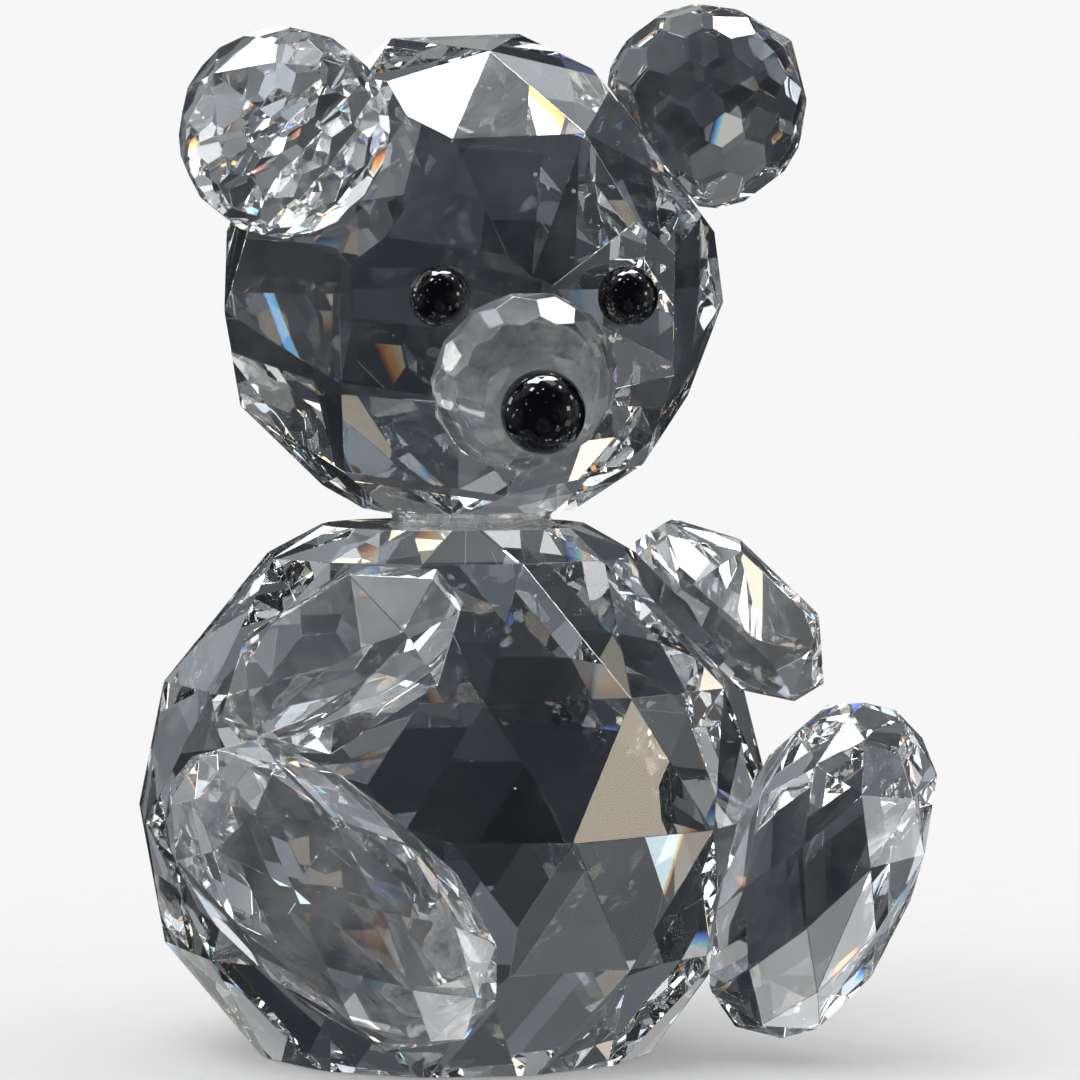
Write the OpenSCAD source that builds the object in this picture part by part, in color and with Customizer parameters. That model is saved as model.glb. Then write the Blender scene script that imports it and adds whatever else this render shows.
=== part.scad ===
// Seated bear figurine glued up from cut crystal stones.
// Millimetres, +Z up. The bear faces -Y and its left side is +X.
// The origin is the centre of the flat base that the body ball rests on.
// Headings are measured from straight ahead (-Y) and grow towards the bear's left (+X).

/* [Body ball] */
// Diameter of the body ball over its facet corners
body_d = 50; // [49:0.5:52]
// Height of the ball's centre above the ground base
body_z = 18.6; // [18.2:0.1:19.2]
// Height of the ground neck table above the base
table_z = 40.7; // [40.2:0.1:41]
// Facets around each row of the body ball
body_folds = 12; // [12:1:16]

/* [Head ball] */
// Diameter of the head ball over its facet corners
head_d = 39.8; // [38:0.5:42]
// Offset of the head to the bear's left
head_x = 1; // [0:0.1:1.5]
// Offset of the head forwards
head_forward = 0.4; // [0:0.1:1]
// Lean of the head ball's cut, forwards
head_lean = 27; // [20:0.5:32]
// Heading of that lean
head_lean_heading = -10; // [-20:1:0]
// Depth from the head's centre down to its ground neck seat
neck_depth = 17.3; // [17:0.1:17.6]
// Thickness of the neck adhesive between the neck table and the head
neck_gap = 1.1; // [0.8:0.1:1.4]
// Radius of the neck adhesive at its waist
neck_r = 6.2; // [5:0.1:6.6]
// Flare of the neck adhesive where it meets the stones
neck_flare = 0.9; // [0.2:0.1:1]
// Offset of the neck adhesive to the bear's left
neck_x = 1.6; // [0:0.1:2]
// Offset of the neck adhesive backwards
neck_back = 0.6; // [0:0.1:1]

/* [Face] */
// Heading that the face looks towards
face_heading = -5; // [-8:1:-2]
// Heading of the muzzle
muzzle_heading = -6.3; // [-8:0.1:-4]
// Heading of each eye from the middle of the face
eye_spread = 21.8; // [20:0.2:24]
// Height angle of the eyes on the head
eye_pitch = -2; // [-5:0.5:2]
// Diameter of each eye
eye_d = 4.5; // [4:0.1:5]
// Height angle of the muzzle on the head
muzzle_pitch = -22.5; // [-24:0.5:-20]
// Diameter of the muzzle where it meets the head
muzzle_d = 13.8; // [13:0.2:14.4]
// Height of the muzzle above the head's seat
muzzle_h = 4.5; // [4:0.1:5]
// Diameter of the nose
nose_d = 6.2; // [5:0.1:6.6]

/* [Ears] */
// Diameter of each ear ball
ear_d = 15.3; // [14.5:0.1:16]
// Distance of an ear's centre from the head's centre
ear_reach = 22.9; // [22.5:0.1:23.3]
// Headings of the right and the left ear
ear_headings = [-64, 67]; // [-90:1:90]
// Height angles of the right and the left ear
ear_pitches = [30, 37]; // [20:1:45]

/* [Arms] */
// Length of each arm stone
arm_l = 20; // [18:0.5:22]
// Widths of the right and the left arm stone
arm_widths = [10.6, 9.4]; // [8.6:0.2:11.6]
// Thicknesses of the right and the left arm stone
arm_thicknesses = [8.4, 7.2]; // [6.6:0.2:10.4]
// Heading and height angle of the right arm's seat on the body
arm_right_seat = [-42, 24]; // [-60:1:60]
// Heading and height angle of the left arm's seat on the body
arm_left_seat = [59, 39]; // [-60:1:60]

/* [Feet] */
// Length of a foot stone
foot_l = 29; // [27:0.5:30]
// Thickness of a foot stone
foot_d = 14.8; // [13.6:0.2:15.2]
// Heading and height angle of the right foot's seat on the body
foot_right_seat = [-24, -16]; // [-60:1:60]
// Heading and height angle of the left foot's seat on the body
foot_left_seat = [52, -14]; // [-60:1:60]

/* [Hidden] */

RIGHT = 0;
LEFT = 1;
crystal = [0.80, 0.84, 0.88];
black_glass = [0.03, 0.03, 0.03];
adhesive = [0.93, 0.94, 0.92];

bond_t = 0.2;
ear_bond_r = 4.8;
muzzle_bond_r = 4.8;
arm_bond_rs = [2.3, 1.8];
foot_bond_r = 2.6;
head_spin = 2;
cap_spin = -24;
body_r = body_d / 2;
head_r = head_d / 2;
ear_r = ear_d / 2;
body_centre = [0, 0, body_z];
neck_top = table_z + neck_gap;
head_z = neck_top + neck_depth;
head_centre = [head_x, -head_forward, head_z];
far = 100;

// Distances of the ground seats from the centre of the ball they are ground on
limb_seat = 0.932 * body_r;
ear_seat = 0.889 * head_r;
muzzle_seat = 0.884 * head_r;
eye_seat = 0.914 * head_r;

// How each limb stone is glued on: its seat, then its middle and its turn over that seat
arm_seats = [arm_right_seat, arm_left_seat];
arm_shifts = [[1.1, 2, 5], [-2.9, -1.7, 3.4]];
arm_turns = [[-161, 42, -48], [8, -76, -151]];
foot_seats = [foot_right_seat, foot_left_seat];
foot_shifts = [[-7, 6.2, 8.1], [-3.1, 4, 6.2]];
foot_turns = [[20, -33, 29], [13, -10, 24]];

// Middles of the adhesive spots over the limb seats
arm_bond_shifts = [[-1.6, -0.3, 0], [-2.3, -1.3, 0]];
foot_bond_shifts = [[-2, 0, 0], [-0.6, -0.8, 0]];

// One ring of n points on a sphere or a spheroid, for a row of facet corners
function ring(r, z, n, phase = 0) =
    [for (i = [0 : n - 1]) let (a = phase + i * 360 / n) [r * cos(a), r * sin(a), z]];
function ball_ring(r, lat, n, phase = 0) = ring(r * cos(lat), r * sin(lat), n, phase);

// The convex stone whose facet corners are the given points
module stone(points) {
    hull() polyhedron(points, [for (i = [0 : len(points) - 3]) [i, i + 1, i + 2]]);
}

// A ball or dome covered in small flat facets set in staggered rows, like a honeycomb
module honeycomb_ball(r, folds, squash = 1) {
    row = 360 / folds;
    lats = [-66, -44, -22, 0, 22, 44, 66];
    hull() scale([1, 1, squash]) intersection_for (i = [0 : len(lats) - 1])
        honeycomb_row(r, lats[i], abs(lats[i]) > 60 ? folds / 2 : folds, i % 2 * row / 2);
}
module honeycomb_row(r, lat, n, phase) {
    intersection_for (k = [0 : n - 1])
        rotate([0, -lat, phase + k * 360 / n]) translate([r - 2 * far, -far, -far]) cube(2 * far);
}

// Frames whose +Z points straight out of a ball, with +Y up and +X towards the bear's left
module on_body(heading, pitch, reach) {
    translate(body_centre) rotate([90 - pitch, 0, heading]) translate([0, 0, reach]) children();
}
module on_head(heading, pitch, reach) {
    translate(head_centre) rotate([90 - pitch, 0, heading]) translate([0, 0, reach]) children();
}
// Everything on the outer side of a seat
module outside() {
    translate([-far / 2, -far / 2, 0]) cube(far);
}

// Long double-sided stone: octagonal outline, stepped crown and a keel, long axis along Y
module arm_stone(width, thickness) {
    l = arm_l / 2;
    w = width / 2;
    t = thickness;
    outline = [[0.3 * w, l], [w, 0.5 * l], [w, -0.5 * l], [0.3 * w, -l]];
    function layer(s, e, z) = [for (p = outline, side = [-1, 1]) [side * p[0] * s, p[1] * e, z]];
    stone(concat(layer(1, 1, 0.1 * t), layer(1, 1, -0.1 * t),
        layer(0.58, 0.78, 0.5 * t), layer(0.2, 0.7, -0.5 * t)));
}

// Large egg-shaped stone with long staggered facets, long axis along Y
module foot_stone() {
    r = foot_d / 2;
    l = foot_l / 2;
    rotate([-90, 0, 0]) stone(concat(
        ring(0.34 * r, l, 6), ring(0.72 * r, 0.82 * l, 8, 22.5), ring(0.95 * r, 0.45 * l, 8),
        ring(r, 0, 8, 22.5), ring(0.97 * r, -0.42 * l, 8), ring(0.82 * r, -0.78 * l, 8, 22.5),
        ring(0.5 * r, -l, 6)));
}

// Body ball: staggered rows of triangles, a low cut cap and a ground base and neck table
module body_stone() {
    step = 180 / body_folds;
    row_r = 0.985 * body_r;
    stone(concat(
        ball_ring(body_r, 0, body_folds, -90),
        ball_ring(row_r, 24.2, body_folds, -90 + step),
        ball_ring(row_r, -24.2, body_folds, -90 + step),
        ball_ring(row_r, 53.4, body_folds, -90),
        ball_ring(row_r, -53.4, body_folds, -90),
        ball_ring(row_r, 70, body_folds, -90 + step),
        ball_ring(row_r, -70, body_folds, -90 + step)));
}
module body_ball() {
    color(crystal) difference() {
        translate(body_centre) body_stone();
        translate([-far / 2, -far / 2, -far]) cube(far);
        translate([-far / 2, -far / 2, table_z]) cube(far);
        for (seat = concat(arm_seats, foot_seats)) on_body(seat[0], seat[1], limb_seat) outside();
    }
}

// Head ball: rows of large facets that close in six triangles at each pole
module head_stone() {
    folds = 9;
    cap_folds = 6;
    rotate([0, 0, head_lean_heading]) rotate([head_lean, 0, 0]) stone(concat(
        ball_ring(head_r, 0, folds, -90 + head_spin),
        ball_ring(head_r, 25.1, folds, -90 + head_spin),
        ball_ring(head_r, -25.1, folds, -90 + head_spin),
        ball_ring(head_r, 59, cap_folds, -90 + cap_spin),
        ball_ring(head_r, -59, cap_folds, -90 + cap_spin),
        [[0, 0, head_r], [0, 0, -head_r]]));
}
module head_ball() {
    color(crystal) difference() {
        translate(head_centre) head_stone();
        translate([head_x - far / 2, -far / 2, neck_top - far]) cube(far);
        for (side = [RIGHT, LEFT]) {
            on_head(ear_headings[side], ear_pitches[side], ear_seat) outside();
            on_head(eye_heading(side), eye_pitch, eye_seat) outside();
        }
        on_head(muzzle_heading, muzzle_pitch, muzzle_seat) outside();
    }
}
function eye_heading(side) = face_heading + (side == LEFT ? eye_spread : -eye_spread);

// Adhesive collar between the neck table and the head
module neck_bond() {
    waist = (table_z + neck_top) / 2;
    half = neck_gap / 2;
    profile = [for (a = [-90 : 15 : 90]) [neck_r + neck_flare * (1 - cos(a)), waist + half * sin(a)]];
    color(adhesive) translate([neck_x, neck_back, 0]) rotate_extrude($fn = 64)
        polygon(concat([[0, table_z]], profile, [[0, neck_top]]));
}

module ear(side) {
    color(crystal) on_head(ear_headings[side], ear_pitches[side], ear_seat + bond_t) intersection() {
        translate([0, 0, ear_reach - ear_seat - bond_t]) honeycomb_ball(ear_r, 14);
        outside();
    }
}
module ear_bond(side) {
    color(adhesive) on_head(ear_headings[side], ear_pitches[side], ear_seat)
        cylinder(r = ear_bond_r, h = bond_t, $fn = 64);
}

// Muzzle: a low faceted dome whose flat top is the nose's seat
module muzzle() {
    color(crystal) on_head(muzzle_heading, muzzle_pitch, muzzle_seat + bond_t) intersection() {
        honeycomb_ball(muzzle_d / 2, 14, 2 * 1.12 * muzzle_h / muzzle_d);
        outside();
        translate([-far / 2, -far / 2, muzzle_h - far]) cube(far);
    }
}
module muzzle_bond() {
    color(adhesive) on_head(muzzle_heading, muzzle_pitch, muzzle_seat)
        cylinder(r = muzzle_bond_r, h = bond_t, $fn = 64);
}

// Polished black bead, ground flat where it is glued
module bead(d, sunk) {
    color(black_glass) difference() {
        translate([0, 0, d / 2 - sunk]) sphere(d = d, $fn = 64);
        translate([-far / 2, -far / 2, -far]) cube(far);
    }
}
nose_reach = muzzle_seat + bond_t + muzzle_h;
module nose() {
    on_head(muzzle_heading, muzzle_pitch, nose_reach + bond_t) bead(nose_d, 0.28 * nose_d);
}
module nose_bond() {
    color(adhesive) on_head(muzzle_heading, muzzle_pitch, nose_reach)
        cylinder(d = 0.8 * nose_d, h = bond_t, $fn = 48);
}
module eye(side) {
    on_head(eye_heading(side), eye_pitch, eye_seat + bond_t) bead(eye_d, 0.25 * eye_d);
}
module eye_bond(side) {
    color(adhesive) on_head(eye_heading(side), eye_pitch, eye_seat)
        cylinder(d = 0.76 * eye_d, h = bond_t, $fn = 48);
}

module arm(side) {
    color(crystal) on_body(arm_seats[side][0], arm_seats[side][1], limb_seat + bond_t) intersection() {
        translate(arm_shifts[side]) rotate(arm_turns[side])
            arm_stone(arm_widths[side], arm_thicknesses[side]);
        outside();
    }
}
module foot(side) {
    color(crystal) on_body(foot_seats[side][0], foot_seats[side][1], limb_seat + bond_t) intersection() {
        translate(foot_shifts[side]) rotate(foot_turns[side]) foot_stone();
        outside();
    }
}
module limb_bond(seat, shift, r) {
    color(adhesive) on_body(seat[0], seat[1], limb_seat) translate(shift)
        cylinder(r = r, h = bond_t, $fn = 48);
}
module arm_bond(side) {
    limb_bond(arm_seats[side], arm_bond_shifts[side], arm_bond_rs[side]);
}
module foot_bond(side) {
    limb_bond(foot_seats[side], foot_bond_shifts[side], foot_bond_r);
}

body_ball();
head_ball();
neck_bond();
ear(RIGHT);  // ear_right
ear(LEFT);  // ear_left
ear_bond(RIGHT);  // ear_right_bond
ear_bond(LEFT);  // ear_left_bond
muzzle();
muzzle_bond();
nose();
nose_bond();
eye(RIGHT);  // eye_right
eye(LEFT);  // eye_left
eye_bond(RIGHT);  // eye_right_bond
eye_bond(LEFT);  // eye_left_bond
arm(RIGHT);  // arm_right
arm(LEFT);  // arm_left
arm_bond(RIGHT);  // arm_right_bond
arm_bond(LEFT);  // arm_left_bond
foot(RIGHT);  // foot_right
foot(LEFT);  // foot_left
foot_bond(RIGHT);  // foot_right_bond
foot_bond(LEFT);  // foot_left_bond
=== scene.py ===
"""Seated bear figurine of cut crystal stones, on a plain pale floor under soft studio light."""
import math
import random

import bmesh
import bpy
import numpy as np
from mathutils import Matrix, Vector, noise


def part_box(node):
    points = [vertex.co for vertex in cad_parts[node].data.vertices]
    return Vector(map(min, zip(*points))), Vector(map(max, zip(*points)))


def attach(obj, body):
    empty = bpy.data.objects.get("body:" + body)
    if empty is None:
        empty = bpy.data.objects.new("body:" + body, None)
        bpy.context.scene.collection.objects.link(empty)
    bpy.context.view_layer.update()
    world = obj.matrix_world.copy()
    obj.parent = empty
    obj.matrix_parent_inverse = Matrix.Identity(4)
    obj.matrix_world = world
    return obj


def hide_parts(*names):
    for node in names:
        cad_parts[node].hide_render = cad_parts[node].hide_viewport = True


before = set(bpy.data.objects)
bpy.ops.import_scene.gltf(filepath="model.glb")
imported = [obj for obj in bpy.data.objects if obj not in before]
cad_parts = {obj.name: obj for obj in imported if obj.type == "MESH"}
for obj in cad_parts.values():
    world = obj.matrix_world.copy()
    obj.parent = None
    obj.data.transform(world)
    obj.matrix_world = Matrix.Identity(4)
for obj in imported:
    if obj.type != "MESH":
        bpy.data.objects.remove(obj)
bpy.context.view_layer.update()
scene = bpy.context.scene
MM = 0.001
CRYSTAL_IOR = 1.56
CRYSTAL_TINT = (0.985, 0.992, 0.996)
BLACK_GLASS_IOR = 1.56
ADHESIVE_IOR = 1.5
rng = random.Random(7)

# ---------------------------------------------------------------- camera
# The aim and the lens put the stones where the photograph shows them
CAMERA_AZ, CAMERA_EL, CAMERA_DISTANCE = math.radians(-21.6), math.radians(3.2), 0.400
AIM = Vector((0.007016, -0.000413, 0.039319))
toward = Vector((math.sin(CAMERA_AZ), -math.cos(CAMERA_AZ), 0))
rightward = Vector((math.cos(CAMERA_AZ), math.sin(CAMERA_AZ), 0))
back = toward * math.cos(CAMERA_EL) + Vector((0, 0, math.sin(CAMERA_EL)))
camera = bpy.data.objects.new("camera", bpy.data.cameras.new("camera"))
scene.collection.objects.link(camera)
camera.data.sensor_width = 36
camera.data.lens = 171.3
camera.data.clip_start = 0.01
camera.location = AIM + back * CAMERA_DISTANCE
camera.rotation_mode = "QUATERNION"
camera.rotation_quaternion = (-back).to_track_quat("-Z", "Y")
scene.camera = camera


# ---------------------------------------------------------------- material helpers
class Nodes:
    """Adds nodes to a material or world and links them by name."""

    def __init__(self, owner):
        owner.use_nodes = True
        self.tree = owner.node_tree
        self.tree.nodes.clear()

    def add(self, kind, inputs=None, **settings):
        n = self.tree.nodes.new(kind)
        for k, v in settings.items():
            setattr(n, k, v)
        for k, v in (inputs or {}).items():
            if isinstance(v, bpy.types.NodeSocket):
                self.tree.links.new(v, n.inputs[k])
            else:
                n.inputs[k].default_value = v
        return n

    def math(self, op, a, b=0.0, clamp=False):
        return self.add("ShaderNodeMath", {0: a, 1: b}, operation=op, use_clamp=clamp).outputs[0]

    def ramp(self, fac, stops):
        n = self.add("ShaderNodeValToRGB", {"Fac": fac})
        e = n.color_ramp.elements
        while len(e) < len(stops):
            e.new(0.5)
        for el, (pos, colour) in zip(e, stops):
            el.position = pos
            el.color = (*colour, 1)
        return n.outputs["Color"]

    def noise(self, vector, scale, detail=3.0, rough=0.5):
        return self.add("ShaderNodeTexNoise", {"Vector": vector, "Scale": scale, "Detail": detail,
                                               "Roughness": rough}).outputs["Fac"]


def material(name):
    m = bpy.data.materials.new(name)
    return m, Nodes(m)


def crystal(name, haze, veil, seed):
    """Polished lead crystal with dust specks and polishing lines.

    veil is an even film of dust, and haze is how much the smears add to it. Where they are set thicker,
    they stand partly for dust and partly for painted light on the dust.
    """
    m, n = material(name)
    place = n.add("ShaderNodeTexCoord").outputs["Object"]
    shift = n.add("ShaderNodeVectorMath", {0: place, 1: (seed, seed * 0.7, -seed)},
                  operation="ADD").outputs[0]
    smear = n.noise(shift, 160.0, 5.0, 0.65)
    smear = n.add("ShaderNodeMapRange", {"Value": smear, "From Min": 0.42, "From Max": 0.72,
                                         "To Min": veil, "To Max": veil + haze}).outputs[0]
    speck = n.add("ShaderNodeTexVoronoi", {"Vector": shift, "Scale": 520.0, "Randomness": 1.0})
    speck_size = n.math("MULTIPLY", n.math("SUBTRACT", n.noise(shift, 900.0, 1.0), 0.52), 0.55)
    near_speck = n.math("LESS_THAN", speck.outputs["Distance"], speck_size)
    pick = n.add("ShaderNodeSeparateColor", {0: speck.outputs["Color"]}).outputs[0]
    rare = n.math("GREATER_THAN", pick, 0.86)
    specks = n.math("MULTIPLY", n.math("MULTIPLY", near_speck, rare), 0.7)
    dirt = n.math("MAXIMUM", smear, specks)
    clear = n.math("SUBTRACT", 1.0, dirt, clamp=True)
    lines = n.add("ShaderNodeMapping", {"Vector": shift, "Scale": (900.0, 140.0, 500.0),
                                        "Rotation": (0.5, 0.9, 0.3)}).outputs[0]
    polish = n.noise(lines, 1.0, 2.0)
    wavy = n.noise(shift, 90.0, 1.0)
    height = n.math("ADD", n.math("MULTIPLY", polish, 0.02), wavy)
    bump = n.add("ShaderNodeBump", {"Height": height, "Strength": 0.012, "Distance": 0.0004}).outputs[0]
    rough = n.add("ShaderNodeMapRange", {"Value": smear, "From Min": veil, "From Max": veil + haze,
                                         "To Min": 0.0, "To Max": 0.006}).outputs[0]
    p = n.add("ShaderNodeBsdfPrincipled", {"Base Color": (*CRYSTAL_TINT, 1), "IOR": CRYSTAL_IOR,
                                           "Roughness": rough, "Transmission Weight": clear,
                                           "Normal": bump})
    n.add("ShaderNodeOutputMaterial", {"Surface": p.outputs[0]})
    return m


def black_glass(name):
    """Pressed black glass with a few grains of dust and a slightly uneven skin."""
    m, n = material(name)
    place = n.add("ShaderNodeTexCoord").outputs["Object"]
    dust = n.math("GREATER_THAN", n.noise(place, 2600.0, 2.0, 0.7), 0.72)
    colour = n.add("ShaderNodeMix", {0: dust, 6: (0.003, 0.003, 0.004, 1), 7: (0.08, 0.08, 0.085, 1)},
                   data_type="RGBA").outputs[2]
    rough = n.add("ShaderNodeMapRange", {"Value": n.noise(place, 500.0, 3.0), "From Min": 0.4,
                                         "From Max": 0.8, "To Min": 0.015, "To Max": 0.07}).outputs[0]
    bump = n.add("ShaderNodeBump", {"Height": n.noise(place, 420.0, 2.0), "Strength": 0.05,
                                    "Distance": 0.0002}).outputs[0]
    p = n.add("ShaderNodeBsdfPrincipled", {"Base Color": colour, "IOR": BLACK_GLASS_IOR,
                                           "Roughness": rough, "Normal": bump})
    n.add("ShaderNodeOutputMaterial", {"Surface": p.outputs[0]})
    return m


def adhesive(name, clear_low, clear_high, tint, coarse):
    """Cured adhesive: milky and rough in patches, clear between them, with a few warm specks.

    clear_low and clear_high are how clear the milkiest and the clearest patches are.
    """
    m, n = material(name)
    place = n.add("ShaderNodeTexCoord").outputs["Object"]
    patch = n.noise(place, 700.0, 5.0, 0.7)
    clear = n.add("ShaderNodeMapRange", {"Value": patch, "From Min": 0.4, "From Max": 0.62,
                                         "To Min": clear_low, "To Max": clear_high}).outputs[0]
    fleck = n.math("GREATER_THAN", n.noise(place, 2400.0, 2.0), 0.72)
    colour = n.add("ShaderNodeMix", {0: fleck, 6: (*tint, 1), 7: (0.55, 0.42, 0.24, 1)},
                   data_type="RGBA").outputs[2]
    bump = n.add("ShaderNodeBump", {"Height": n.noise(place, 1100.0, 4.0, 0.7), "Strength": 0.5 * coarse,
                                    "Distance": 0.0003}).outputs[0]
    rough = n.add("ShaderNodeMapRange", {"Value": patch, "From Min": 0.35, "From Max": 0.7,
                                         "To Min": 0.35 * coarse, "To Max": 0.08 * coarse}).outputs[0]
    p = n.add("ShaderNodeBsdfPrincipled", {"Base Color": colour, "IOR": ADHESIVE_IOR, "Roughness": rough,
                                           "Transmission Weight": clear, "Normal": bump})
    n.add("ShaderNodeOutputMaterial", {"Surface": p.outputs[0]})
    return m


# ---------------------------------------------------------------- cutting stones
CUBE_HALF = 60.0


def cut(faces, n, d):
    """Grinds a convex solid, a list of (outline, normal), back to the plane n.x = d."""
    kept, rim = [], []
    for outline, normal in faces:
        h = outline @ n - d
        if (h <= 0).all():
            kept.append((outline, normal))
            continue
        out = []
        for i in range(len(outline)):
            j = (i + 1) % len(outline)
            if h[i] <= 0:
                out.append(outline[i])
            if (h[i] < 0 < h[j]) or (h[j] < 0 < h[i]):
                x = outline[i] + (outline[j] - outline[i]) * (h[i] / (h[i] - h[j]))
                out.append(x)
                rim.append(x)
        if len(out) > 2:
            kept.append((np.array(out), normal))
    if len(rim) > 2:
        rim = np.array(rim)
        c = rim.mean(0)
        u = rim[0] - c
        u = u / np.linalg.norm(u)
        v = np.cross(n, u)
        order = np.argsort(np.arctan2((rim - c) @ v, (rim - c) @ u))
        ring = [rim[order[0]]]
        for k in order[1:]:
            if np.linalg.norm(rim[k] - ring[-1]) > 1e-6 and np.linalg.norm(rim[k] - ring[0]) > 1e-6:
                ring.append(rim[k])
        if len(ring) > 2:
            kept.append((np.array(ring), n))
    return kept


def facet_planes(node):
    """The facets of a convex CAD stone as (normal, distance) in millimetres, and the stone's middle."""
    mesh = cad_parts[node].data
    co = np.array([v.co for v in mesh.vertices], float) * 1000
    found = []
    for poly in mesh.polygons:
        tri = co[list(poly.vertices)]
        n = np.cross(tri[1] - tri[0], tri[2] - tri[0])
        area = np.linalg.norm(n) / 2
        if area < 1e-4:
            continue
        n = n / (2 * area)
        d = n @ tri[0]
        for f in found:
            if n @ f[0] > 1 - 2e-6 and abs(d - f[1]) < 4e-3:
                if area > f[3]:
                    f[0], f[1], f[3] = n, d, area
                f[2] += area
                break
        else:
            found.append([n, d, area, area])
    return [(n, d) for n, d, area, _ in found if area > 2e-3], co.mean(0)


def stone_faces(node, chamfer, wobble):
    """A stone ground from a cube, facet by facet, to the CAD solid, with every edge broken.

    wobble tilts each facet a touch off true, and chamfer is the width of a broken edge in millimetres.
    """
    planes, centre = facet_planes(node)
    faces = []
    for axis in range(3):
        for sign in (-1, 1):
            n = np.zeros(3)
            n[axis] = sign
            u, v = np.roll(n, 1) * sign, np.roll(n, 2) * sign
            pts = [centre + CUBE_HALF * (n + a * u + b * v * sign)
                   for a, b in ((-1, -1), (1, -1), (1, 1), (-1, 1))]
            faces.append((np.array(pts), n))
    for n, d in planes:
        tilt = np.array([rng.gauss(0, wobble) for _ in range(3)])
        if abs(n[2]) < 0.999:
            inside = n @ centre - d
            n = n + tilt - n * (tilt @ n)
            n = n / np.linalg.norm(n)
            d = n @ centre - inside - abs(rng.gauss(0, 0.006))
        faces = cut(faces, n, d)
    edges = {}
    for outline, n in faces:
        for i in range(len(outline)):
            a, b = outline[i], outline[(i + 1) % len(outline)]
            key = frozenset((tuple(np.round(a, 4)), tuple(np.round(b, 4))))
            edges.setdefault(key, []).append((a, b, n))
    for pair in edges.values():
        if len(pair) != 2:
            continue
        (a, b, n0), (_, _, n1) = pair
        half = math.acos(max(-1, min(1, n0 @ n1))) / 2
        if half < math.radians(1.2) or np.linalg.norm(b - a) < 0.02:
            continue
        n = (n0 + n1) / np.linalg.norm(n0 + n1)
        width = chamfer * rng.uniform(0.7, 1.25)
        faces = cut(faces, n, n @ ((a + b) / 2) - width * math.tan(half) / 2)
    return faces


def mesh_object(name, points, polygons, smooth=False):
    """Object from points and faces, without faces that have collapsed or come twice."""
    mesh = bpy.data.meshes.new(name)
    bm = bmesh.new()
    verts = [bm.verts.new(p) for p in points]
    for poly in polygons:
        vs = []
        for i in poly:
            if verts[i] not in vs:
                vs.append(verts[i])
        if len(vs) > 2 and bm.faces.get(vs) is None:
            bm.faces.new(vs)
    bm.normal_update()
    bm.to_mesh(mesh)
    bm.free()
    for p in mesh.polygons:
        p.use_smooth = smooth
    o = bpy.data.objects.new(name, mesh)
    scene.collection.objects.link(o)
    return o


def part(o, node, mat):
    """Puts a visible piece in the place of its CAD node."""
    o.data.materials.append(mat)
    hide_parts(node)
    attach(o, "root")
    return o


def stone(node, mat, chamfer, wobble=0.0015):
    index, points, polygons = {}, [], []
    for outline, _ in stone_faces(node, chamfer, wobble):
        poly = []
        for p in outline:
            key = tuple(np.round(p, 4))
            if key not in index:
                index[key] = len(points)
                points.append(Vector(p) * MM)
            if not poly or poly[-1] != index[key]:
                poly.append(index[key])
        polygons.append(poly)
    return part(mesh_object("crystal_" + node, points, polygons), node, mat)


# ---------------------------------------------------------------- turned pieces: beads and adhesive
def flat_frame(node):
    """Centre and axis of a disc node, from the two circles it lies between; the axis may point either way.
    """
    co = np.array([v.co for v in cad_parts[node].data.vertices], float)
    centre = (co.min(0) + co.max(0)) / 2
    _, _, vt = np.linalg.svd(co - co.mean(0))
    axis = vt[2]
    return Vector(centre), Vector(axis), co


def lathe(centre, axis, profile, sides, rough=0.0, seed=0.0, lobes=1.4):
    """Points and faces of a turned shape; profile holds (radius, height) pairs from pole to pole."""
    turn = axis.to_track_quat("Z", "Y")
    points, polygons, rings = [], [], []
    for r, z in profile:
        if r < 1e-7:
            rings.append([len(points)])
            points.append(centre + turn @ Vector((0, 0, z)))
            continue
        ring = []
        for k in range(sides):
            a = 2 * math.pi * k / sides
            wave = noise.noise(Vector((lobes * math.cos(a) + seed, lobes * math.sin(a), seed)))
            rr = r * (1 + rough * (wave - 0.4))
            ring.append(len(points))
            points.append(centre + turn @ Vector((rr * math.cos(a), rr * math.sin(a), z)))
        rings.append(ring)
    for lo, hi in zip(rings, rings[1:]):
        for k in range(sides):
            j = (k + 1) % sides
            if len(lo) == 1:
                polygons.append([lo[0], hi[j], hi[k]])
            elif len(hi) == 1:
                polygons.append([lo[k], lo[j], hi[0]])
            else:
                polygons.append([lo[k], lo[j], hi[j], hi[k]])
    return points, polygons


def bead(node, bond, mat):
    """Pressed black bead: round, with a small rounded rim where it was ground flat."""
    _, axis, co = flat_frame(bond)
    bond_centre = Vector(co.mean(0))
    own = np.array([v.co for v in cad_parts[node].data.vertices], float)
    if (Vector(own.mean(0)) - bond_centre).dot(axis) < 0:
        axis = -axis
    up = own @ np.array(axis)
    low, high = up.min(), up.max()
    seat = bond_centre + axis * (low - bond_centre.dot(axis))
    radial = own - np.outer(up, np.array(axis))
    mid = np.array(seat - axis * seat.dot(axis))
    radius = np.linalg.norm(radial - mid, axis=1).max()
    middle = (high - low) - radius
    start = math.acos(max(-1, min(1, middle / radius)))
    profile = [(0, 0), (0.86 * radius * math.sin(start), 0)]
    steps = 40
    for k in range(1, steps):
        a = start * 0.985 + (math.pi - start * 0.985) * k / steps
        profile.append((radius * math.sin(a), middle - radius * math.cos(a)))
    profile.append((0, middle + radius))
    points, polygons = lathe(seat, axis, profile, 72)
    return part(mesh_object("bead_" + node, points, polygons, smooth=True), node, mat)


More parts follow.
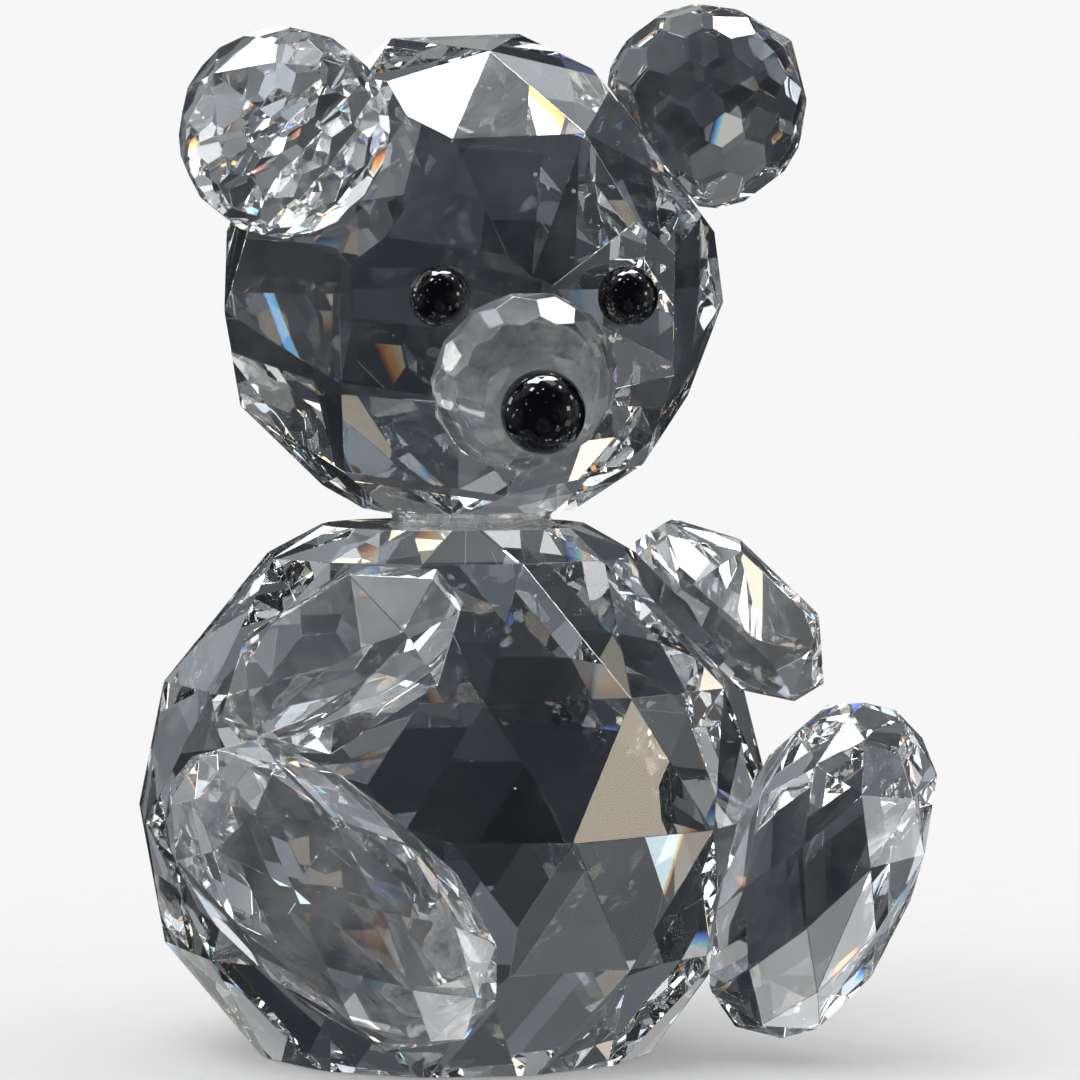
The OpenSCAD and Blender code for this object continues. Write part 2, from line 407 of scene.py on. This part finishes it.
def bond(node, mat, rough=0.10, gap=0.02, seed=1.0):
    """Adhesive spot squeezed between two ground flats, its edge drawn in a little by surface tension."""
    centre, axis, co = flat_frame(node)
    flat = (co - np.array(centre)) @ np.array(axis)
    radius = np.sqrt(((co - np.array(centre)) ** 2).sum(1) - flat ** 2).max()
    half = flat.max() - gap * MM
    profile = [(0, -half), (0.5 * radius, -half), (0.93 * radius, -half), (0.985 * radius, -0.8 * half),
               (0.95 * radius, -0.3 * half), (0.94 * radius, 0), (0.95 * radius, 0.3 * half),
               (0.985 * radius, 0.8 * half), (0.93 * radius, half), (0.5 * radius, half), (0, half)]
    points, polygons = lathe(centre, axis, profile, 72, rough, seed)
    return part(mesh_object("adhesive_" + node, points, polygons, smooth=False), node, mat)


# ---------------------------------------------------------------- the object
clear_body = crystal("crystal_body", 0.015, 0.0, 1.3)
clear_head = crystal("crystal_head", 0.03, 0.0, 4.1)
# The muzzle, the arms, the right ear and the right foot get a thicker dust film than the left ear and the
# left foot. It is partly dust and partly painted light: it makes these stones paler, as more light falling
# on their dust would.
clear_small = {"ear_right": crystal("crystal_ear_right", 0.06, 0.01, 2.9),
               "ear_left": crystal("crystal_ear_left", 0.04, 0.0, 3.3),
               "muzzle": crystal("crystal_muzzle", 0.10, 0.015, 5.2),
               "arm_right": crystal("crystal_arm_right", 0.07, 0.01, 6.7),
               "arm_left": crystal("crystal_arm_left", 0.07, 0.01, 7.1),
               "foot_right": crystal("crystal_foot_right", 0.09, 0.015, 8.2),
               "foot_left": crystal("crystal_foot_left", 0.04, 0.0, 9.4)}
jet = black_glass("black_glass")
bead_glue = adhesive("adhesive_clear", 0.97, 1.0, (0.97, 0.98, 0.98), 0.05)
limb_glue = adhesive("adhesive_milky", 0.7, 1.0, (0.97, 0.98, 0.98), 0.25)
frosted_glue = adhesive("adhesive_frosted", 0.1, 0.8, (0.97, 0.98, 0.98), 0.6)
muzzle_glue = adhesive("adhesive_muzzle", 0.85, 1.0, (0.97, 0.98, 0.98), 0.1)

stone("body_ball", clear_body, 0.05)
stone("head_ball", clear_head, 0.05)
for side in ("right", "left"):
    stone("ear_" + side, clear_small["ear_" + side], 0.03, 0.0025)
    stone("arm_" + side, clear_small["arm_" + side], 0.06)
    stone("foot_" + side, clear_small["foot_" + side], 0.06)
    bead("eye_" + side, "eye_" + side + "_bond", jet)
    bond("eye_" + side + "_bond", bead_glue, seed=2.2)
    bond("ear_" + side + "_bond", frosted_glue if side == "right" else bead_glue, seed=3.7)
    bond("arm_" + side + "_bond", limb_glue, 0.22, seed=5.1)
    bond("foot_" + side + "_bond", limb_glue, 0.22, seed=6.4)
stone("muzzle", clear_small["muzzle"], 0.03, 0.0025)
bond("muzzle_bond", muzzle_glue, seed=8.9)
bead("nose", "nose_bond", jet)
bond("nose_bond", bead_glue, seed=9.5)


def neck_collar():
    """Adhesive collar between the body's table and the head's seat, drawn in at its waist."""
    lo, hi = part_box("neck_bond")
    centre = Vector(((lo.x + hi.x) / 2, (lo.y + hi.y) / 2, lo.z))
    height, flare = hi.z - lo.z, (hi.x - lo.x) / 2
    hollow, gap = 0.9 * MM, 0.02 * MM
    waist = flare - hollow
    profile = [(0, gap), (0.5 * flare, gap)]
    for k in range(13):
        a = math.pi * (k / 12 - 0.5)
        r = waist + hollow * (1 - math.cos(a)) * 0.97
        profile.append((r, gap + (height - 2 * gap) * (0.5 + 0.5 * math.sin(a))))
    profile += [(0.5 * flare, height - gap), (0, height - gap)]
    points, polygons = lathe(centre, Vector((0, 0, 1)), profile, 96, 0.05, 2.0, lobes=3.0)
    o = mesh_object("adhesive_neck", points, polygons, smooth=True)
    mat = adhesive("adhesive_neck", 0.72, 0.99, (0.99, 0.995, 0.99), 0.14)
    return part(o, "neck_bond", mat)


neck_collar()

# ---------------------------------------------------------------- stage
PALE_TONE = 0.93
FLOOR_RADIUS = 4.0
FLOOR_DROP = 0.0001
HUB = Vector((0, 0, 0.04))
CARD_DISTANCE = 1.5
FAR_CARD_DISTANCE = 6.0


def stage_mesh(name, points, polygons, mat):
    """Mesh that belongs to the studio and not to the object."""
    o = mesh_object(name, points, polygons)
    o.data.materials.append(mat)
    return o


floor_mat, n = material("floor")
grain = n.noise(n.add("ShaderNodeTexCoord").outputs["Object"], 300.0, 3.0)
tone = n.ramp(grain, [(0.3, (0.8215, 0.8215, 0.822)), (0.7, (0.8315, 0.8315, 0.832))])
n.add("ShaderNodeOutputMaterial", {"Surface": n.add("ShaderNodeBsdfPrincipled", {
    "Base Color": tone, "Roughness": 0.9, "Specular IOR Level": 0.0}).outputs[0]})
turns = [math.radians(5 * k) for k in range(72)]
disc = [Vector((FLOOR_RADIUS * math.cos(a), FLOOR_RADIUS * math.sin(a), -FLOOR_DROP)) for a in turns]
floor = stage_mesh("floor", disc, [list(range(len(disc)))], floor_mat)
floor.visible_transmission = False
floor.visible_glossy = False


WHITE, WARM, COOL = (1.0, 1.0, 1.0), (1.0, 0.86, 0.68), (0.80, 0.90, 1.0)
BLACK, RED, AMBER = (0, 0, 0), (0.9, 0.30, 0.12), (1.0, 0.75, 0.25)
CYAN, BLUE = (0.35, 0.9, 1.0), (0.18, 0.32, 1.0)


def direction(az, el):
    """Unit vector az degrees to the right of the camera's side of the object and el degrees up."""
    a, e = math.radians(az), math.radians(el)
    return (toward * math.cos(a) + rightward * math.sin(a)) * math.cos(e) + Vector((0, 0, math.sin(e)))


def card(name, az, el, wide, high, colour, power, fringe=0.7, spin=0.0, mirrored=True, through=True,
         smeared=False, distance=CARD_DISTANCE):
    """Soft box that shows only in the glass, wide by high degrees and turned by spin degrees.

    Its edges are split into colours over fringe degrees. It shows in reflections if mirrored, and
    through the glass if through. A smeared one is streaky, like light on a greasy facet.
    """
    d = direction(az, el)
    turn = d.to_track_quat("Z", "Y")
    hx, hy = (distance * math.tan(math.radians(size / 2)) for size in (wide, high))
    c, s = math.cos(math.radians(spin)), math.sin(math.radians(spin))
    pts = []
    for x, y in ((-hx, -hy), (hx, -hy), (hx, hy), (-hx, hy)):
        pts.append(HUB + d * distance + turn @ Vector((x * c - y * s, x * s + y * c, 0)))
    m, n = material("light_" + name)
    place = n.add("ShaderNodeTexCoord").outputs["UV"]
    uv = n.add("ShaderNodeSeparateXYZ", {0: place})

    def edge(axis_value, size):
        f = min(0.15, fringe / size)
        return n.ramp(axis_value, [
            (0.0, BLACK), (0.35 * f, RED), (0.75 * f, AMBER), (f, WHITE),
            (1 - f, WHITE), (1 - 0.75 * f, CYAN), (1 - 0.35 * f, BLUE), (1.0, BLACK)])

    both = n.add("ShaderNodeMix", {0: 1.0, 6: edge(uv.outputs[0], wide), 7: edge(uv.outputs[1], high)},
                 data_type="RGBA", blend_type="MULTIPLY").outputs[2]
    both = n.add("ShaderNodeMix", {0: 1.0, 6: both, 7: (*colour, 1)}, data_type="RGBA",
                 blend_type="MULTIPLY").outputs[2]
    if smeared:
        streaks = n.add("ShaderNodeMapping", {"Vector": place, "Scale": (26.0, 4.0, 1.0),
                                              "Rotation": (0.0, 0.0, 0.5)}).outputs[0]
        streaks = n.math("MULTIPLY", n.noise(streaks, 1.0, 4.0, 0.7), n.noise(streaks, 0.3, 3.0, 0.6))
        power = n.add("ShaderNodeMapRange", {"Value": streaks, "From Min": 0.15, "From Max": 0.38,
                                             "To Min": 0.15 * power, "To Max": 1.5 * power}).outputs[0]
    direct = n.math("LESS_THAN", n.add("ShaderNodeLightPath").outputs["Diffuse Depth"], 0.5)
    glow = n.add("ShaderNodeEmission", {"Color": both, "Strength": n.math("MULTIPLY", direct, power)})
    n.add("ShaderNodeOutputMaterial", {"Surface": glow.outputs[0]})
    m.cycles.emission_sampling = "NONE"
    o = stage_mesh("light_" + name, pts, [[0, 1, 2, 3]], m)
    layer = o.data.uv_layers.new(name="card")
    for loop, corner in zip(layer.data, ((0, 0), (1, 0), (1, 1), (0, 1))):
        loop.uv = corner
    o.visible_camera = o.visible_diffuse = o.visible_shadow = False
    o.visible_glossy, o.visible_transmission = mirrored, through
    return o


# Soft boxes mirrored on the outsides of the stones and beads. Many stand where a chosen facet mirrors
# the camera's view, a direction that was worked out outside this script and rounded
for name, az, el, wide, high, colour, power in (
        ("ceiling_left", -130, 69, 18, 28, WHITE, 22.0),
        ("ceiling_right", 150, 71, 16, 28, WHITE, 22.0),
        ("ceiling_front_left", -58, 61, 8, 10, WHITE, 16.0),
        ("ceiling_front", 0, 67, 4, 4, WHITE, 16.0),
        ("wall_left", -120, 19, 32, 13, COOL, 5.0),
        ("wall_right", 72.5, 9.5, 11, 10, WARM, 7.0),
        ("far_left", -170, 21, 14, 9, WHITE, 3.0),
        ("right_high", 98, 28, 9, 8, WHITE, 5.0),
        ("right_top", 93, 56, 7, 6, WHITE, 18.0),
        ("right_far", 153, 14, 14, 7, WARM, 3.0),
        ("low_right", 76, -22, 18, 14, WHITE, 1.1),
        ("low_front_right", 51, -41, 12, 10, WHITE, 1.0),
        ("low_side_right", 115, -27, 10, 10, WHITE, 0.8),
        ("low_far_right", 162, -23, 9, 8, WHITE, 0.9),
        ("low_far_left", -161, -20, 9, 8, (0.98, 1.0, 0.92), 0.5),
        ("left_far", -148, 16, 10, 9, COOL, 0.5),
        ("right_mid", 108, 16, 8, 8, WHITE, 0.9),
        ("right_back_high", 149, 48, 14, 12, (0.95, 1.0, 1.0), 1.7),
        ("top_back", 177, 20, 14, 7, WHITE, 0.4),
        ("spot_1", -112, 4, 4, 4, WHITE, 12.0),
        ("spot_2", -86, -4, 3, 3, WHITE, 12.0),
        ("spot_3", -75, 6, 3, 3, WHITE, 12.0)):
    card(name, az, el, wide, high, colour, power, through=False)
card("smeared", 113, 76, 24, 16, (0.93, 0.98, 1.0), 3.0, spin=30, through=False, smeared=True)
card("smeared_low", 38, 46, 9, 6, (0.90, 0.97, 1.0), 1.2, spin=30, through=False, smeared=True)
# Small ones that each light one facet of an ear, arm or foot, in directions worked out the same way
for k, (az, el, size, power) in enumerate((
        (103, -37, 4, 4.0), (95, -63, 4.5, 6.5), (95, -55, 4, 4.0), (55, -73, 5, 3.2), (-69, -76.5, 5, 4.6),
        (-115.5, -22, 4, 3.2), (46, -34, 4, 4.8), (161, -61, 4, 4.2), (140, -43, 4, 2.5), (118, -5, 5, 3.0),
        (34, -78, 5, 3.6), (-166, -40, 4, 3.0), (80, -27, 4, 4.0), (-50, 22, 5, 3.5),
        (-23, 55, 5, 3.5), (-92, -8, 4, 3.0))):
    card("facet_%d" % k, az, el, size, size, (0.96, 0.99, 1.0), power, 0.1, through=False,
         distance=FAR_CARD_DISTANCE)

# Bright patches of the room seen only through the stones: at the sides, in front, and high behind
for k in range(160):
    side = -1 if k % 2 else 1
    wide = rng.uniform(3.0, 8.0)
    if k < 90:
        az, el = rng.uniform(55, 118), rng.uniform(-42, 76)
    elif k < 130:
        az, el = rng.uniform(0, 55), rng.uniform(-50, 80)
        el = abs(el) if el < -15 else el  # none low in front
    else:
        az, el = rng.uniform(118, 180), rng.uniform(48, 80)
    high = wide * rng.uniform(0.7, 1.6)
    colour = (COOL, WHITE, WHITE, WARM)[rng.randrange(4)]
    power = rng.uniform(1.0, 4.0)
    spin = rng.uniform(0, 90)
    card("window_%d" % k, side * az, el, wide, high, colour, power, 0.25, spin, mirrored=False)

# Single coloured glints seen through the large stones, in directions read outside this script from a
# map of where the light at each place in the camera's view comes from
for k, (az, el, wide, high, colour, power, spin) in enumerate((
        (-131, 8, 4.5, 4.5, (0.72, 0.93, 1.0), 1.0, 20), (-136, 24, 3, 2.5, (0.85, 0.88, 1.0), 1.4, 45),
        (-153, 12, 0.8, 1.2, (1.0, 0.62, 0.25), 0.8, 0), (169, -6, 1.0, 0.8, (1.0, 0.50, 0.38), 0.9, 30),
        (141.9, 16, 0.18, 9, (0.20, 0.58, 1.0), 0.65, -12), (160, -3, 2.5, 2.5, (0.75, 1.0, 1.0), 1.4, 50),
        (144, -11, 1.6, 5, (1.0, 0.96, 0.80), 0.6, 10), (156, 13, 1.5, 1.0, (1.0, 0.58, 0.30), 1.0, 70),
        (178, -54, 5, 3, (1.0, 0.85, 0.70), 0.6, 25), (-155, -23, 9, 6, (1.0, 0.90, 0.74), 0.22, 15),
        (-167, -23, 2.0, 2.0, (1.0, 0.95, 0.85), 0.5, 40), (133, 37, 7, 5, (0.95, 1.0, 1.0), 0.45, 60),
        (165, 21, 4, 4, (0.90, 0.96, 1.0), 0.4, 35), (176, -36, 3, 3, (0.93, 1.0, 1.0), 0.3, 5),
        (155, -13, 3, 3, (0.90, 0.97, 1.0), 0.5, 80), (-175, 15, 3, 3, (1.0, 1.0, 0.95), 0.5, 15))):
    card("glint_%d" % k, az, el, wide, high, colour, power, 0.12, spin, mirrored=False)

world = bpy.data.worlds.new("world")
scene.world = world
n = Nodes(world)
paths = n.add("ShaderNodeLightPath")
ray = n.add("ShaderNodeTexCoord").outputs["Generated"]


def along(axis):
    return n.add("ShaderNodeVectorMath", {0: ray, 1: tuple(axis)}, operation="DOT_PRODUCT").outputs["Value"]


def span(value, low, high, to_low=0.0, to_high=1.0):
    return n.add("ShaderNodeMapRange", {"Value": value, "From Min": low, "From Max": high, "To Min": to_low,
                                        "To Max": to_high}, interpolation_type="SMOOTHSTEP").outputs[0]


def blend_colour(fac, a, b, mode="MIX"):
    return n.add("ShaderNodeMix", {0: fac, 6: a, 7: b}, data_type="RGBA", blend_type=mode).outputs[2]


def grey(value):
    return n.add("ShaderNodeCombineColor", {0: value, 1: value, 2: value}).outputs[0]


# The dark room that shows in the glass: a base tone, broad soft lobes, and tiles that break them up.
# The lobes were not set by hand: a program outside this script fitted them to the photograph's tones,
# and two of their levels were then raised
room = n.add("ShaderNodeRGB").outputs[0]
room.default_value = (0.021, 0.025, 0.030, 1)
for az, el, inner, outer, level, colour in (
        (90, -55, 20, 60, 0.27, (0.93, 1.0, 1.04)), (-90, 45, 8, 26, 1.40, (0.96, 1.0, 1.02)),
        (90, 15, 14, 40, 0.34, (0.93, 1.0, 1.03)), (-135, 78, 14, 40, 0.32, (0.97, 1.0, 0.98)),
        (-90, 0, 14, 40, 0.47, (0.94, 1.0, 1.05)), (105, 60, 8, 26, 1.10, (0.94, 1.0, 1.03)),
        (-165, 30, 8, 26, 0.10, (0.92, 1.0, 1.05)), (-135, -55, 8, 26, 0.12, (0.85, 1.0, 1.12)),
        (45, 0, 8, 26, 0.30, (1.0, 1.0, 0.95)), (0, -35, 8, 26, 0.38, (0.95, 1.0, 1.02)),
        (90, 0, 8, 26, 0.85, (0.92, 1.0, 1.06))):
    low, full = math.cos(math.radians(outer)), math.cos(math.radians(inner))
    lobe = span(along(direction(az, el)), low, full, 0.0, level)
    room = blend_colour(lobe, room, (*colour, 1), "ADD")
tiles = n.add("ShaderNodeTexVoronoi", {"Vector": ray, "Scale": 5.0}).outputs["Color"]
tiles = n.add("ShaderNodeSeparateColor", {0: tiles}).outputs[0]
tiles = n.add("ShaderNodeMapRange", {"Value": tiles, "To Min": 0.45, "To Max": 1.6}).outputs[0]
patches = n.math("MULTIPLY", tiles, span(n.noise(ray, 3.4, 2.0, 0.6), 0.3, 0.7, 0.7, 1.35))
dark = blend_colour(1.0, room, grey(patches), "MULTIPLY")
first_mirror = n.math("LESS_THAN", paths.outputs["Transmission Depth"], 0.5)
dim = span(first_mirror, 0.0, 1.0, 1.0, 0.35)
dark = blend_colour(1.0, dark, grey(dim), "MULTIPLY")
# Straight from the camera, and as light on the floor, the surroundings are plain and pale
outside = n.math("MAXIMUM", paths.outputs["Is Camera Ray"],
                 n.math("GREATER_THAN", paths.outputs["Diffuse Depth"], 0.5))
shade = n.add("ShaderNodeMix", {0: outside, 6: dark, 7: (PALE_TONE, PALE_TONE, PALE_TONE * 1.005, 1)},
              data_type="RGBA").outputs[2]
n.add("ShaderNodeOutputWorld", {"Surface": n.add("ShaderNodeBackground", {"Color": shade}).outputs[0]})

key = bpy.data.lights.new("key", "SUN")
key.energy = 0.74
key.angle = math.radians(40)
key_object = bpy.data.objects.new("key", key)
scene.collection.objects.link(key_object)
key_object.rotation_mode = "QUATERNION"
key_object.rotation_quaternion = direction(-40, 60).to_track_quat("Z", "Y")
key_object.visible_glossy = key_object.visible_transmission = False

scene.view_settings.view_transform = "Standard"
scene.cycles.max_bounces = 24
scene.cycles.transmission_bounces = 24
scene.cycles.glossy_bounces = 16
scene.cycles.diffuse_bounces = 3
